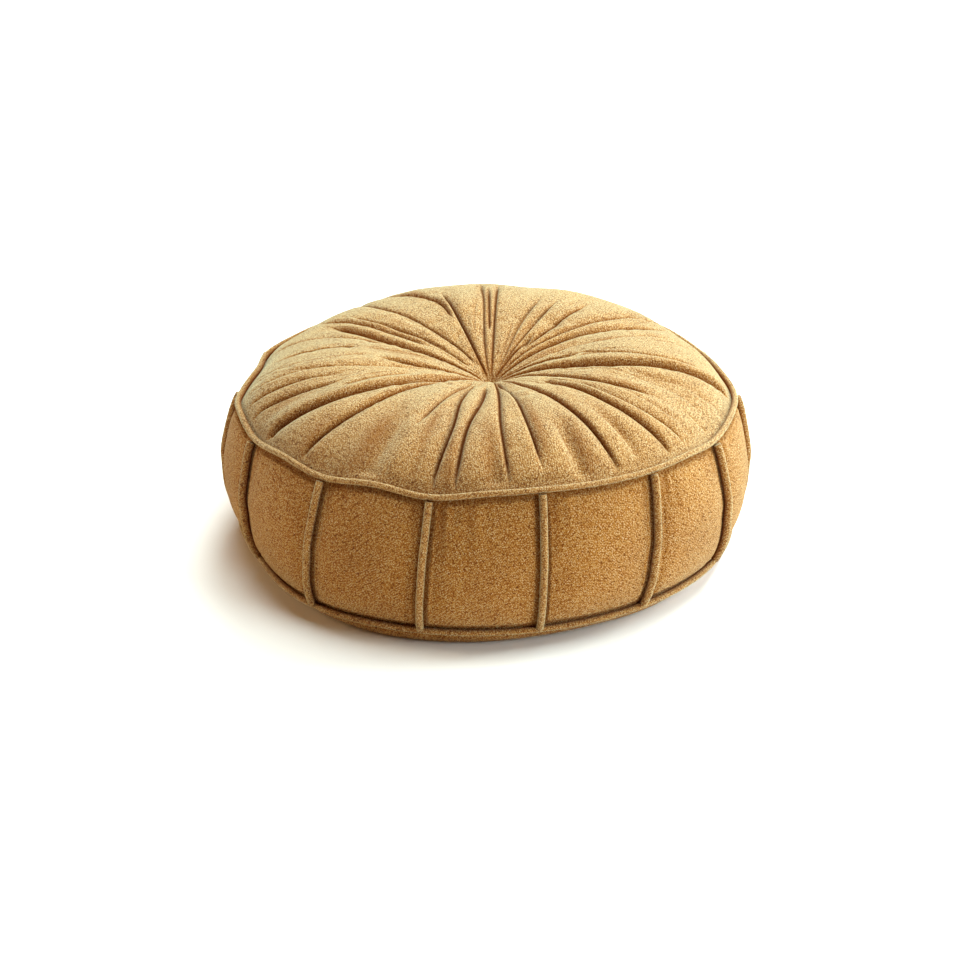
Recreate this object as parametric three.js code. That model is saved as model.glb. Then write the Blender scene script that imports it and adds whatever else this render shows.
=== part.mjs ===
// Round teddy floor pouf. Units are millimetres, +Z is up and -Y is the front.
// The filled cover is one solid: a pleated crown gathered at its centre, a band of fourteen side
// panels drawn in at their seams, and a flat base. The welts over its seams are separate pieces.
// An azimuth is counted in degrees from the front (-Y) towards the right (+X).

import * as THREE from 'three';
import { ParametricGeometry } from 'three/addons/geometries/ParametricGeometry.js';
import { mergeVertices } from 'three/addons/utils/BufferGeometryUtils.js';

// Driving sizes of the pouf
const RIM_RADIUS = 278;
const RIM_HEIGHT = 172;
const FOOT_SEAM_RADIUS = 283;
const FOOT_SEAM_HEIGHT = 22;
const GATHER_OFFSET = 6;
const GATHER_DIP = 7;
const GATHER_RADIUS = 9;
const CREASE_NARROWS = 0.32;
const CREASE_STARTS = 0.03;
const CREASE_FADES = 0.06;
const CREASES_END = 0.945;
const VALLEY_DEPTH = 0.7;
const VALLEY_REACH = 0.75;
const CREST_STEEP = 1.5;
const CREST_GENTLE = 1;
const CROWN_EDGE = 0.985;

// Sewing sizes
const SEAM_STRIP = 6;
const RIM_STRIP = 5;
const SIDE_WELT = { halfWidth: 4.2, height: 9.5 };
const RIM_WELT = { halfWidth: 3.4, height: 7.5 };
const GAP = 0.45;
const PANEL_PILLOW = 4;
const PILLOW_ROLL = 5;
const PANEL_BELLY = 2;
const BAND_EDGE = RIM_STRIP / (RIM_HEIGHT - FOOT_SEAM_HEIGHT);

// Colours read from the photo
const CLOTH_COLOUR = 0xc08a45;
const WELT_COLOUR = 0xc8954f;
const CLOTH_ROUGHNESS = 0.95;

// Mesh steps
const STATIONS = 154;
const CROWN_SHARES = [
  CROWN_EDGE, 0.965, 0.945, 0.91, 0.87, 0.82, 0.76, 0.7, 0.64, 0.57, 0.5, 0.43, 0.36, 0.295, 0.23,
  0.17, 0.12, 0.08, 0.05, 0.025,
];
const SHARED_OUT_AT = 0.7;
const BAND_STEPS = 10;
const BULGE_STEPS = 3;
const SLOPE_STEP = 0.001;
const WELD_DISTANCE = 0.001;
const FULL_TURN = 360;
const TO_RADIANS = Math.PI / 180;

// The crown's height over the rim, by share of the rim's radius
const CROWN_PROFILE = [
  { share: 0, height: 12 },
  { share: 0.1, height: 26 },
  { share: 0.2, height: 37 },
  { share: 0.33, height: 46 },
  { share: 0.45, height: 52 },
  { share: 0.55, height: 54 },
  { share: 0.65, height: 52 },
  { share: 0.75, height: 46.5 },
  { share: 0.83, height: 38.5 },
  { share: 0.9, height: 28 },
  { share: 0.95, height: 16.5 },
  { share: 1, height: 0 },
];

// How full the crown stands in each direction, 1 being the profile above
const CROWN_FULLNESS = [
  { azimuth: -165, full: 1.07 },
  { azimuth: -150, full: 0.93 },
  { azimuth: -135, full: 0.9 },
  { azimuth: -120, full: 0.76 },
  { azimuth: -105, full: 0.83 },
  { azimuth: -90, full: 0.95 },
  { azimuth: 0, full: 1 },
  { azimuth: 60, full: 1 },
  { azimuth: 90, full: 1.05 },
  { azimuth: 105, full: 0.97 },
  { azimuth: 120, full: 0.87 },
  { azimuth: 135, full: 0.98 },
  { azimuth: 150, full: 1.04 },
  { azimuth: 180, full: 1.04 },
];

// The band's radius at its seams, by height share from the foot seam to the rim
const BAND_PROFILE = [
  { share: 0, radius: 283 },
  { share: 0.11, radius: 290.5 },
  { share: 0.25, radius: 295.5 },
  { share: 0.42, radius: 296.6 },
  { share: 0.54, radius: 296.6 },
  { share: 0.77, radius: 289.5 },
  { share: 0.92, radius: 283.4 },
  { share: 1, radius: 278 },
];

// How far the rim is drawn in towards the middle, where the cloth pulls straight between two seams
const RIM_DRAWN = [
  { azimuth: -154, drawn: 0 },
  { azimuth: -141, drawn: -2 },
  { azimuth: -128, drawn: 7 },
  { azimuth: -115.5, drawn: 1 },
  { azimuth: -103, drawn: 14 },
  { azimuth: -90, drawn: 6 },
  { azimuth: -77, drawn: -1 },
  { azimuth: 76, drawn: 0 },
  { azimuth: 89, drawn: 0 },
  { azimuth: 102, drawn: 8 },
  { azimuth: 115, drawn: 5 },
  { azimuth: 128, drawn: 6 },
  { azimuth: 141, drawn: -4 },
  { azimuth: 154, drawn: 2 },
];

// One row for each side seam: where it meets the rim and the foot seam, how high the rim stands
// there and halfway to the next seam, and the foot seam's radius there
const SEAMS = [
  { top: -167, rim: 170, next: 174, foot: -168, radius: 283 },
  { top: -141, rim: 169, next: 173, foot: -143, radius: 283 },
  { top: -115.5, rim: 170, next: 175, foot: -117, radius: 282 },
  { top: -90, rim: 173, next: 180, foot: -91, radius: 277 },
  { top: -64, rim: 171, next: 176, foot: -66.5, radius: 270 },
  { top: -38, rim: 171, next: 179, foot: -40, radius: 287 },
  { top: -12, rim: 173, next: 180, foot: -14, radius: 286 },
  { top: 12, rim: 182, next: 180, foot: 11.5, radius: 281 },
  { top: 39, rim: 178, next: 177, foot: 37, radius: 277 },
  { top: 62.5, rim: 171, next: 174, foot: 65, radius: 276 },
  { top: 89, rim: 172, next: 175, foot: 89, radius: 276 },
  { top: 115, rim: 171, next: 175, foot: 114.5, radius: 277 },
  { top: 141, rim: 170, next: 174, foot: 140, radius: 281 },
  { top: 167, rim: 170, next: 174, foot: 166, radius: 283 },
];

// The edge of the flat face that the pouf stands on
const FOOT_EDGE = [
  { azimuth: -150, radius: 266 },
  { azimuth: -90, radius: 263 },
  { azimuth: -52, radius: 240 },
  { azimuth: -28, radius: 271 },
  { azimuth: -3, radius: 266 },
  { azimuth: 9, radius: 254 },
  { azimuth: 25, radius: 238 },
  { azimuth: 38, radius: 248 },
  { azimuth: 52, radius: 247 },
  { azimuth: 78, radius: 250 },
  { azimuth: 120, radius: 262 },
];

// The pleats of the crown, in order of azimuth. Each row gives the crease's azimuth at the shares
// of the rim's radius in CREASE_SHARES, the shares between which it is pressed in, its depth, and
// how far the cloth takes to rise again on the side before it and after it.
const CREASE_SHARES = [0.1, 0.3, 0.5, 0.7, 0.95];
const CREASES = [
  { at: [-158, -161, -162, -163, -168], from: 0.04, to: 0.6, depth: 8, before: 9, after: 5 },
  { at: [-150, -156, -158.5, -155, -148], from: 0.42, to: 0.85, depth: 4, before: 5, after: 12 },
  { at: [-146, -142.5, -141, -140, -144], from: 0.12, to: 0.9, depth: 4, before: 6, after: 6 },
  { at: [-127, -129, -128.5, -129, -131], from: 0.12, to: 0.7, depth: 3, before: 6, after: 5 },
  { at: [-119, -123.5, -124.5, -126, -127], from: 0.33, to: 0.85, depth: 4, before: 6, after: 6 },
  { at: [-106, -113, -117, -121, -124], from: 0.04, to: 0.72, depth: 10, before: 6, after: 11 },
  { at: [-100, -107, -111, -111.5, -108], from: 0.45, to: 0.92, depth: 7, before: 8, after: 7 },
  { at: [-90, -96, -99.5, -97, -93], from: 0.55, to: 0.8, depth: 4, before: 5, after: 7 },
  { at: [-68, -78, -86, -90, -87], from: 0.04, to: 0.4, depth: 9, before: 6, after: 9 },
  { at: [-62, -69, -73, -77, -80], from: 0.25, to: 0.94, depth: 6, before: 14, after: 6 },
  { at: [-56, -64, -68, -71, -74.5], from: 0.75, to: 0.94, depth: 3, before: 5, after: 5 },
  { at: [-52, -61, -63.5, -65, -70], from: 0.68, to: 0.94, depth: 4, before: 5, after: 7 },
  { at: [-48, -57, -59, -60, -64], from: 0.38, to: 0.64, depth: 4, before: 6, after: 6 },
  { at: [-40, -45, -49.5, -54, -60], from: 0.04, to: 0.96, depth: 15, before: 8, after: 14 },
  { at: [-34, -38, -40.5, -42.5, -46], from: 0.3, to: 0.96, depth: 6, before: 5, after: 10 },
  { at: [-16, -18, -19.5, -21, -23], from: 0.25, to: 0.7, depth: 4, before: 7, after: 7 },
  { at: [-12, -13, -12.5, -10.8, -12], from: 0.3, to: 0.95, depth: 8, before: 10, after: 6 },
  { at: [-2, -2.5, -3, -6, -7], from: 0.35, to: 0.95, depth: 7, before: 6, after: 8 },
  { at: [6, 5.5, 4.7, 4, 5], from: 0.1, to: 0.95, depth: 6, before: 5, after: 11 },
  { at: [9, 9.5, 12, 12.3, 13], from: 0.2, to: 0.9, depth: 8, before: 5, after: 12 },
  { at: [22, 25, 27.5, 29.5, 31], from: 0.1, to: 0.95, depth: 6, before: 12, after: 5 },
  { at: [36, 40, 42, 43.5, 46.5], from: 0.35, to: 0.96, depth: 6, before: 10, after: 5 },
  { at: [39, 43, 46.5, 48, 52.5], from: 0.45, to: 0.94, depth: 6, before: 5, after: 14 },
  { at: [53, 54, 54, 58, 62], from: 0.04, to: 0.71, depth: 7, before: 9, after: 6 },
  { at: [72, 74, 74, 79, 84.5], from: 0.04, to: 0.96, depth: 14, before: 13, after: 8 },
  { at: [86, 87, 85, 84.8, 88], from: 0.38, to: 0.8, depth: 5, before: 6, after: 7 },
  { at: [92, 91, 90, 90, 93], from: 0.06, to: 0.32, depth: 7, before: 6, after: 5 },
  { at: [102, 107, 104, 105.5, 107], from: 0.05, to: 0.78, depth: 7, before: 6, after: 14 },
  { at: [123, 122.5, 120, 117.5, 119], from: 0.04, to: 0.78, depth: 6, before: 7, after: 6 },
  { at: [134, 130, 128, 126.5, 125], from: 0.08, to: 0.85, depth: 4, before: 6, after: 6 },
  { at: [141, 138, 139.5, 140.7, 148], from: 0.22, to: 0.6, depth: 5, before: 7, after: 5 },
  { at: [145, 142.5, 144, 146, 152], from: 0.04, to: 0.26, depth: 8, before: 6, after: 6 },
  { at: [149, 149, 150, 151, 156], from: 0.1, to: 0.54, depth: 4, before: 5, after: 5 },
  { at: [154, 158, 157.5, 158, 161], from: 0.08, to: 0.52, depth: 3, before: 5, after: 5 },
  { at: [176, 176.3, 176.3, 176.3, 176], from: 0.04, to: 0.7, depth: 5, before: 6, after: 5 },
  { at: [180, 179.7, 179.5, 179.5, 179.5], from: 0.3, to: 0.62, depth: 5, before: 5, after: 5 },
  { at: [188, 184, 182, 182, 182], from: 0.04, to: 0.72, depth: 4, before: 5, after: 6 },
];

// Soft dents of the crown between its pleats: their middle, size and depth
const DENTS = [
  { azimuth: -27, share: 0.88, across: 14, along: 36, depth: 7 },
  { azimuth: 2, share: 0.92, across: 10, along: 30, depth: 5 },
  { azimuth: 22, share: 0.86, across: 8, along: 38, depth: 6 },
  { azimuth: 37, share: 0.86, across: 6, along: 30, depth: 3 },
  { azimuth: 68, share: 0.72, across: 8, along: 24, depth: 3 },
  { azimuth: 90, share: 0.3, across: 4, along: 9, depth: 4 },
  { azimuth: 140, share: 0.41, across: 5, along: 8, depth: 4 },
  { azimuth: 142.5, share: 0.25, across: 5, along: 8, depth: 4 },
];

// The welt's cross-section, flat where it lies on the cover
const WELT_SECTION = [
  { side: 0.88, height: 0 },
  { side: 1, height: 0.5 },
  { side: 0.5, height: 1 },
  { side: -0.5, height: 1 },
  { side: -1, height: 0.5 },
  { side: -0.88, height: 0 },
];

// Smooth curve through the points of a table, level beyond its ends
function curveThrough(xs, ys) {
  const last = xs.length - 1;
  const slopes = xs.map((x, i) => {
    const before = Math.max(i - 1, 0);
    const after = Math.min(i + 1, last);
    return (ys[after] - ys[before]) / (xs[after] - xs[before]);
  });
  return (x) => {
    const at = THREE.MathUtils.clamp(x, xs[0], xs[last]);
    const i = Math.max(0, xs.findIndex((value) => value >= at) - 1);
    const step = xs[i + 1] - xs[i];
    const s = (at - xs[i]) / step;
    const rise = s * s * (3 - 2 * s);
    const bend = slopes[i] * s * (1 - s) * (1 - s) - slopes[i + 1] * s * s * (1 - s);
    return ys[i] + (ys[i + 1] - ys[i]) * rise + bend * step;
  };
}

// The same, for two columns of a table
function tableCurve(rows, across, value) {
  return curveThrough(rows.map((row) => row[across]), rows.map((row) => row[value]));
}

// Smooth curve through a table that runs once around the pouf
function curveAround(rows, across, value) {
  const turns = [-FULL_TURN, 0, FULL_TURN];
  const wide = turns.flatMap((turn) => rows.map((row) => ({ ...row, [across]: row[across] + turn })));
  return tableCurve(wide, across, value);
}

// Rises from 0 to 1 between two values
function fade(x, low, high) {
  return THREE.MathUtils.smoothstep(x, low, high);
}

// Shares from 0 to 1 that crowd towards both ends
function crowded(share) {
  return share - Math.sin(2 * Math.PI * share) / (4 * Math.PI);
}

// The difference of two azimuths, from -180 to 180 degrees
function azimuthBetween(from, to) {
  return THREE.MathUtils.euclideanModulo(to - from + FULL_TURN / 2, FULL_TURN) - FULL_TURN / 2;
}

// A point at a radius, azimuth and height
function polar(radius, azimuth, height) {
  const angle = azimuth * TO_RADIANS;
  return new THREE.Vector3(radius * Math.sin(angle), -radius * Math.cos(angle), height);
}

// Rim line: the seams and the middles of the panels between them
const rimRows = SEAMS.flatMap((seam, k) => {
  const following = SEAMS[(k + 1) % SEAMS.length];
  const halfway = seam.top + azimuthBetween(seam.top, following.top) / 2;
  return [{ azimuth: seam.top, height: seam.rim }, { azimuth: halfway, height: seam.next }];
});
const rimHeight = curveAround(rimRows, 'azimuth', 'height');
const footSeamRadius = curveAround(SEAMS, 'foot', 'radius');
const footEdgeRadius = curveAround(FOOT_EDGE, 'azimuth', 'radius');
const rimDrawn = curveAround(RIM_DRAWN, 'azimuth', 'drawn');
const crownProfile = tableCurve(CROWN_PROFILE, 'share', 'height');
const crownFullness = curveAround(CROWN_FULLNESS, 'azimuth', 'full');
const bandProfile = tableCurve(BAND_PROFILE, 'share', 'radius');
const creases = CREASES.map((row) => ({ ...row, azimuth: curveThrough(CREASE_SHARES, row.at) }));

// Height of the smooth crown, without its pleats
function crownHeight(azimuth, share) {
  const rim = THREE.MathUtils.lerp(RIM_HEIGHT, rimHeight(azimuth), share * share);
  const full = 1 + (crownFullness(azimuth) - 1) * Math.min(1, 2 * share);
  return rim + crownProfile(share) * full;
}

// A sharp crease whose sides rise again into rounded folds, higher on its steep side
function creaseLift(crease, azimuth, share) {
  const aside = azimuthBetween(crease.azimuth(share), azimuth) * TO_RADIANS * RIM_RADIUS * share;
  const narrowing = Math.min(1, (share + SLOPE_STEP) / CREASE_NARROWS);
  const reach = (aside < 0 ? crease.before : crease.after) * VALLEY_REACH * narrowing;
  const steep = (aside < 0) === (crease.before <= crease.after);
  const crest = steep ? CREST_STEEP : CREST_GENTLE;
  const x = Math.abs(aside) / reach;
  const begins = fade(share, crease.from - CREASE_STARTS, crease.from + CREASE_STARTS);
  const ends = 1 - fade(share, crease.to - CREASE_FADES, crease.to + CREASE_FADES);
  const pressed = VALLEY_DEPTH * narrowing * begins * ends;
  return -crease.depth * pressed * (1 - crest * x) * Math.exp(-x);
}

// A soft round dent
function dentLift(dent, azimuth, share) {
  const aside = azimuthBetween(dent.azimuth, azimuth) * TO_RADIANS * RIM_RADIUS * share;
  const outward = (share - dent.share) * RIM_RADIUS;
  return -dent.depth * Math.exp(-((aside / dent.across) ** 2) - (outward / dent.along) ** 2);
}

// A point of the pleated crown: the folds are raised along the smooth crown's normal
function crownPoint(azimuth, share) {
  const outer = crownHeight(azimuth, share + SLOPE_STEP);
  const inner = crownHeight(azimuth, share - SLOPE_STEP);
  const slope = (outer - inner) / (2 * SLOPE_STEP * RIM_RADIUS);
  const dip = GATHER_DIP * Math.exp(-((share * RIM_RADIUS / GATHER_RADIUS) ** 2));
  const folds = creases.reduce((sum, crease) => sum + creaseLift(crease, azimuth, share), 0);
  const dents = DENTS.reduce((sum, dent) => sum + dentLift(dent, azimuth, share), 0);
  const free = 1 - fade(share, CREASES_END, CROWN_EDGE);
  const lift = ((folds + dents) * free - dip) / Math.hypot(1, slope);
  const height = crownHeight(azimuth, share) + lift;
  const leaning = slope * lift * Math.min(1, share / CREASE_NARROWS);
  const radius = RIM_RADIUS * share - rimDrawn(azimuth) * share ** 3 - leaning;
  const point = polar(radius, azimuth, height);
  point.x += GATHER_OFFSET * (1 - share);
  return point;
}

// Shares out the mesh's stations among the spaces between the pleats: every crease has a station
// of its own, and the widest steps are divided first
function shareStations() {
  const widths = creases.map((crease, k) => {
    const following = creases[(k + 1) % creases.length];
    const apart = following.azimuth(SHARED_OUT_AT) - crease.azimuth(SHARED_OUT_AT);
    return THREE.MathUtils.euclideanModulo(apart, FULL_TURN);
  });
  const counts = widths.map(() => 2);
  for (let spare = STATIONS - 2 * widths.length; spare > 0; spare -= 1) {
    const steps = widths.map((width, k) => width / counts[k]);
    counts[steps.indexOf(Math.max(...steps))] += 1;
  }
  return counts.flatMap((count, space) => (
    Array.from({ length: count }, (_, i) => ({ space, part: i / count }))
  ));
}
const stations = shareStations();

// Azimuth of a station on the crown, counted on from the first crease
function crownAzimuth(station, share) {
  const { space, part } = stations[station];
  const here = creases[space].azimuth(share);
  const next = creases[(space + 1) % creases.length].azimuth(share);
  return here + THREE.MathUtils.euclideanModulo(next - here, FULL_TURN) * part;
}

// Places each station on the band: the side panel it lies on and its share of the way across
function bandStations() {
  const panels = SEAMS.map(() => []);
  for (let station = 0; station < STATIONS; station += 1) {
    const azimuth = crownAzimuth(station, CROWN_EDGE);
    const ahead = SEAMS.map((seam) => THREE.MathUtils.euclideanModulo(azimuth - seam.top, FULL_TURN));
    panels[ahead.indexOf(Math.min(...ahead))].push({ station, azimuth });
  }
  const places = [];
  panels.forEach((members, panel) => {
    const start = SEAMS[panel].top;
    members.sort((a, b) => azimuthBetween(start, a.azimuth) - azimuthBetween(start, b.azimuth));
    members.forEach((member, i) => {
      places[member.station] = { panel, across: crowded(i / (members.length - 1)) };
    });
  });
  return places;
}
const places = bandStations();

// Azimuth of a side seam at a height share of the band
function seamAzimuth(seam, share) {
  return THREE.MathUtils.lerp(seam.foot, seam.top, share);
}

// Smooth radius of the band along its seams, which meets the crown's at the rim
function bandRadius(azimuth, share) {
  const widening = (footSeamRadius(azimuth) - FOOT_SEAM_RADIUS) * (1 - share);
  return bandProfile(share) + widening - rimDrawn(azimuth) * share ** 3;
}

// Height on the band
function bandHeight(azimuth, share) {
  return THREE.MathUtils.lerp(FOOT_SEAM_HEIGHT, rimHeight(azimuth), share);
}

// Half of a seam's flat strip, as an angle
function stripAngle(azimuth, share) {
  return SEAM_STRIP / bandRadius(azimuth, share) / TO_RADIANS;
}

// A point of a padded side panel, drawn in along all four of its seams
function panelPoint(panel, across, share) {
  const left = seamAzimuth(SEAMS[panel], share);
  const width = THREE.MathUtils.euclideanModulo(
    seamAzimuth(SEAMS[(panel + 1) % SEAMS.length], share) - left,
    FULL_TURN,
  );
  const strip = stripAngle(left, share);
  const azimuth = left + THREE.MathUtils.lerp(strip, width - strip, across);
  const radius = bandRadius(azimuth, share);
  const clothWidth = (width - 2 * strip) * TO_RADIANS * radius;
  const clothHeight = RIM_HEIGHT - FOOT_SEAM_HEIGHT;
  const toSeam = Math.min(across, 1 - across) * clothWidth;
  const toRim = (Math.min(share, 1 - share) - BAND_EDGE) * clothHeight;
  const pillow = PANEL_PILLOW * (1 - Math.exp(-toSeam / PILLOW_ROLL)) * (1 - Math.exp(-toRim / PILLOW_ROLL));
  const belly = PANEL_BELLY * Math.sin(Math.PI * across) * Math.sin(Math.PI * share);
  return polar(radius + pillow + belly, azimuth, bandHeight(azimuth, share));
}

// A point of the rounded edge of the base, from the foot seam down to the flat face
function bulgePoint(station, step) {
  const { panel, across } = places[station];
  const seam = panelPoint(panel, across, BAND_EDGE);
  const azimuth = Math.atan2(seam.x, -seam.y) / TO_RADIANS;
  const turn = (step / BULGE_STEPS) * (Math.PI / 2);
  const edge = footEdgeRadius(azimuth);
  const radius = edge + (footSeamRadius(azimuth) - edge) * Math.cos(turn);
  return polar(radius, azimuth, (FOOT_SEAM_HEIGHT - RIM_STRIP) * (1 - Math.sin(turn)));
}

// Height shares of the band's rows, from the foot seam's strip to the rim's
const bandShares = Array.from({ length: BAND_STEPS + 1 }, (_, i) => (
  THREE.MathUtils.lerp(BAND_EDGE, 1 - BAND_EDGE, crowded(i / BAND_STEPS))
));

// The cover's rows of points, from the middle of the base over the band to the gather
const coverRows = [
  () => new THREE.Vector3(),
  ...Array.from({ length: BULGE_STEPS + 1 }, (_, i) => (
    (station) => bulgePoint(station, BULGE_STEPS - i)
  )),
  ...bandShares.map((share) => (
    (station) => panelPoint(places[station].panel, places[station].across, share)
  )),
  ...CROWN_SHARES.map((share) => (
    (station) => crownPoint(crownAzimuth(station, share), share)
  )),
  () => crownPoint(0, 0),
];

// Welds a geometry's shared points and drops the triangles that shrink to nothing
function closedSolid(geometry) {
  geometry.deleteAttribute('normal');
  geometry.deleteAttribute('uv');
  const welded = mergeVertices(geometry, WELD_DISTANCE);
  const corners = welded.getIndex().array;
  const kept = [];
  for (let i = 0; i < corners.length; i += 3) {
    const [a, b, c] = corners.slice(i, i + 3);
    if (a !== b && b !== c && c !== a) {
      kept.push(a, b, c);
    }
  }
  welded.setIndex(kept);
  welded.computeVertexNormals();
  return welded;
}

// Named mesh with a cloth of its own
function clothMesh(name, geometry, color) {
  const material = new THREE.MeshStandardMaterial({ color, roughness: CLOTH_ROUGHNESS, metalness: 0 });
  const mesh = new THREE.Mesh(closedSolid(geometry), material);
  mesh.name = name;
  return mesh;
}

// The filled cover
function filledCover() {
  const point = (u, v, target) => {
    const row = coverRows[Math.round(v * (coverRows.length - 1))];
    target.copy(row(Math.round(u * STATIONS) % STATIONS));
  };
  return new ParametricGeometry(point, STATIONS, coverRows.length - 1);
}

// Places a point of a welt's section on a frame: a middle, the way across and the way outwards
function onWelt(welt, frame, side, height, target) {
  target.copy(frame.middle);
  target.addScaledVector(frame.side, side * welt.halfWidth);
  target.addScaledVector(frame.outward, GAP + height * welt.height);
}

// A frame on the strip between two points of the cover, with its length running along the strip
function stripFrame(low, high, along) {
  const side = new THREE.Vector3().subVectors(high, low).normalize();
  const outward = new THREE.Vector3().crossVectors(along, side).normalize();
  const middle = new THREE.Vector3().addVectors(low, high).multiplyScalar(0.5);
  return { middle, side, outward };
}

// A welt that runs once around the pouf over a rim strip, given its lower and upper edge
function rimWelt(lowEdge, highEdge) {
  const point = (u, v, target) => {
    const station = Math.round(u * STATIONS) % STATIONS;
    const low = lowEdge(station);
    const azimuth = Math.atan2(low.x, -low.y) / TO_RADIANS;
    const frame = stripFrame(low, highEdge(station, azimuth), polar(1, azimuth + 90, 0));
    const corner = WELT_SECTION[Math.round(v * WELT_SECTION.length) % WELT_SECTION.length];
    onWelt(RIM_WELT, frame, -corner.side, corner.height, target);
  };
  return new ParametricGeometry(point, STATIONS, WELT_SECTION.length);
}

// A welt that runs up the band over a side seam
function sideWelt(k) {
  const outline = new THREE.Shape(WELT_SECTION.map(({ side, height }) => new THREE.Vector2(side, height)));
  const lengthwise = { depth: BAND_STEPS, steps: BAND_STEPS, bevelEnabled: false };
  const geometry = new THREE.ExtrudeGeometry(outline, lengthwise);
  const position = geometry.getAttribute('position');
  const before = (k + SEAMS.length - 1) % SEAMS.length;
  const seamPair = (step) => [
    panelPoint(before, 1, bandShares[step]),
    panelPoint(k, 0, bandShares[step]),
  ];
  const middleAt = (step) => {
    const [left, right] = seamPair(THREE.MathUtils.clamp(step, 0, BAND_STEPS));
    return left.add(right).multiplyScalar(0.5);
  };
  const target = new THREE.Vector3();
  for (let i = 0; i < position.count; i += 1) {
    const step = Math.round(position.getZ(i));
    const [left, right] = seamPair(step);
    const along = middleAt(step + 1).sub(middleAt(step - 1)).normalize();
    const frame = stripFrame(right, left, along);
    onWelt(SIDE_WELT, frame, position.getX(i), position.getY(i), target);
    position.setXYZ(i, target.x, target.y, target.z);
  }
  return geometry;
}

const pouf = new THREE.Group();
pouf.add(clothMesh('filled_cover', filledCover(), CLOTH_COLOUR));
const bandRow = (share) => (station) => panelPoint(places[station].panel, places[station].across, share);
const crownEdge = (station, azimuth) => crownPoint(azimuth, CROWN_EDGE);
const footEdge = (station) => bulgePoint(station, 0);
pouf.add(clothMesh('top_rim_welt', rimWelt(bandRow(1 - BAND_EDGE), crownEdge), WELT_COLOUR));
pouf.add(clothMesh('bottom_rim_welt', rimWelt(footEdge, bandRow(BAND_EDGE)), WELT_COLOUR));
SEAMS.forEach((seam, k) => {
  const number = String(k + 1).padStart(2, '0');
  pouf.add(clothMesh(`side_welt_${number}`, sideWelt(k), WELT_COLOUR));
});

export default pouf;
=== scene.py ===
# %% [markdown]
# # A round teddy floor pouf
# The pouf is a cushion of teddy cloth, 60 cm across. Its crown is gathered into a point at the middle, so
# the cloth lies in pleats that run out to the rim. Below the rim is a band of fourteen padded side panels,
# and raised welts cover all of its seams. This lesson starts from a measured solid and makes the soft cloth
# over it.

# %% Start from the measured solid
import math

import bpy
import numpy as np
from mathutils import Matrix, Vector


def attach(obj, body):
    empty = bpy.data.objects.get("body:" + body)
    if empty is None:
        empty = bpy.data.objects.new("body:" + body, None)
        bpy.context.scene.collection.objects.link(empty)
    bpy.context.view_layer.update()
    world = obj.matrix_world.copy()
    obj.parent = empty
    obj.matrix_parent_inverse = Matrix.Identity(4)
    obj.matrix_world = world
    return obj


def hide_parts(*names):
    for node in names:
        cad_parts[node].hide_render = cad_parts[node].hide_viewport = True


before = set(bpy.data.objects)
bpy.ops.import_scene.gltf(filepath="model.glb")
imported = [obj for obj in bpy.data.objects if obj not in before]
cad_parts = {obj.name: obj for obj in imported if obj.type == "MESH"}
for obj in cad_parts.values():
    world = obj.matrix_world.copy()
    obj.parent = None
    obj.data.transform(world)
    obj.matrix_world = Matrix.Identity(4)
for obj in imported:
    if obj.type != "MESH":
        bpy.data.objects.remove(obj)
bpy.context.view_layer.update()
MM = 0.001

# %% [markdown]
# ## The cushion's own sizes
# Every place on this cushion can be told by a direction and a distance from its middle. The direction is an
# azimuth in degrees, from the front (-Y) towards the right (+X). The distance is a share: 0 at the gather, 1
# at the rim. A few short tables of such numbers are easier to correct than a sculpted mesh, and the solid
# was made from the same ones, so the cloth fits it without any pushing. All lengths in the tables are
# millimetres.

# %% The sizes of the cushion
RIM_RADIUS = 278
RIM_HEIGHT = 172
FOOT_SEAM_RADIUS = 283
FOOT_SEAM_HEIGHT = 22
BAND_TALL = RIM_HEIGHT - FOOT_SEAM_HEIGHT
# The gather lies a little to the right of the middle, in a dip of its own
GATHER_OFFSET = 6
GATHER_DIP = 7
GATHER_RADIUS = 9
# The strip of cloth that a welt covers, on each side of its seam
SEAM_STRIP = 6
RIM_STRIP = 5
BAND_EDGE = RIM_STRIP / BAND_TALL
CROWN_EDGE = 0.985
print("the band between its two rim seams is", BAND_TALL, "mm tall")

# %% The profiles: how high the crown, how wide the band
# The crown's height at each share, and how full it is in each direction
CROWN_PROFILE = [
    (0, 12), (0.1, 26), (0.2, 37), (0.33, 46), (0.45, 52), (0.55, 54), (0.65, 52), (0.75, 46.5),
    (0.83, 38.5), (0.9, 28), (0.95, 16.5), (1, 0),
]
CROWN_FULLNESS = [
    (-165, 1.07), (-150, 0.93), (-135, 0.9), (-120, 0.76), (-105, 0.83), (-90, 0.95), (0, 1), (60, 1),
    (90, 1.05), (105, 0.97), (120, 0.87), (135, 0.98), (150, 1.04), (180, 1.04),
]
# The band's radius from the foot seam (0) to the rim (1), and the edge of the flat base
BAND_PROFILE = [
    (0, 283), (0.11, 290.5), (0.25, 295.5), (0.42, 296.6), (0.54, 296.6), (0.77, 289.5), (0.92, 283.4),
    (1, 278),
]
FOOT_EDGE = [
    (-150, 266), (-90, 263), (-52, 240), (-28, 271), (-3, 266), (9, 254), (25, 238), (38, 248), (52, 247),
    (78, 250), (120, 262),
]
# How far the rim is drawn in between its seams, where the cloth pulls straight from one to the next
RIM_DRAWN = [
    (-154, 0), (-141, -2), (-128, 7), (-115.5, 1), (-103, 14), (-90, 6), (-77, -1), (76, 0), (89, 0),
    (102, 8), (115, 5), (128, 6), (141, -4), (154, 2),
]
print("the crown rises", max(height for _, height in CROWN_PROFILE), "mm above the rim")

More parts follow.
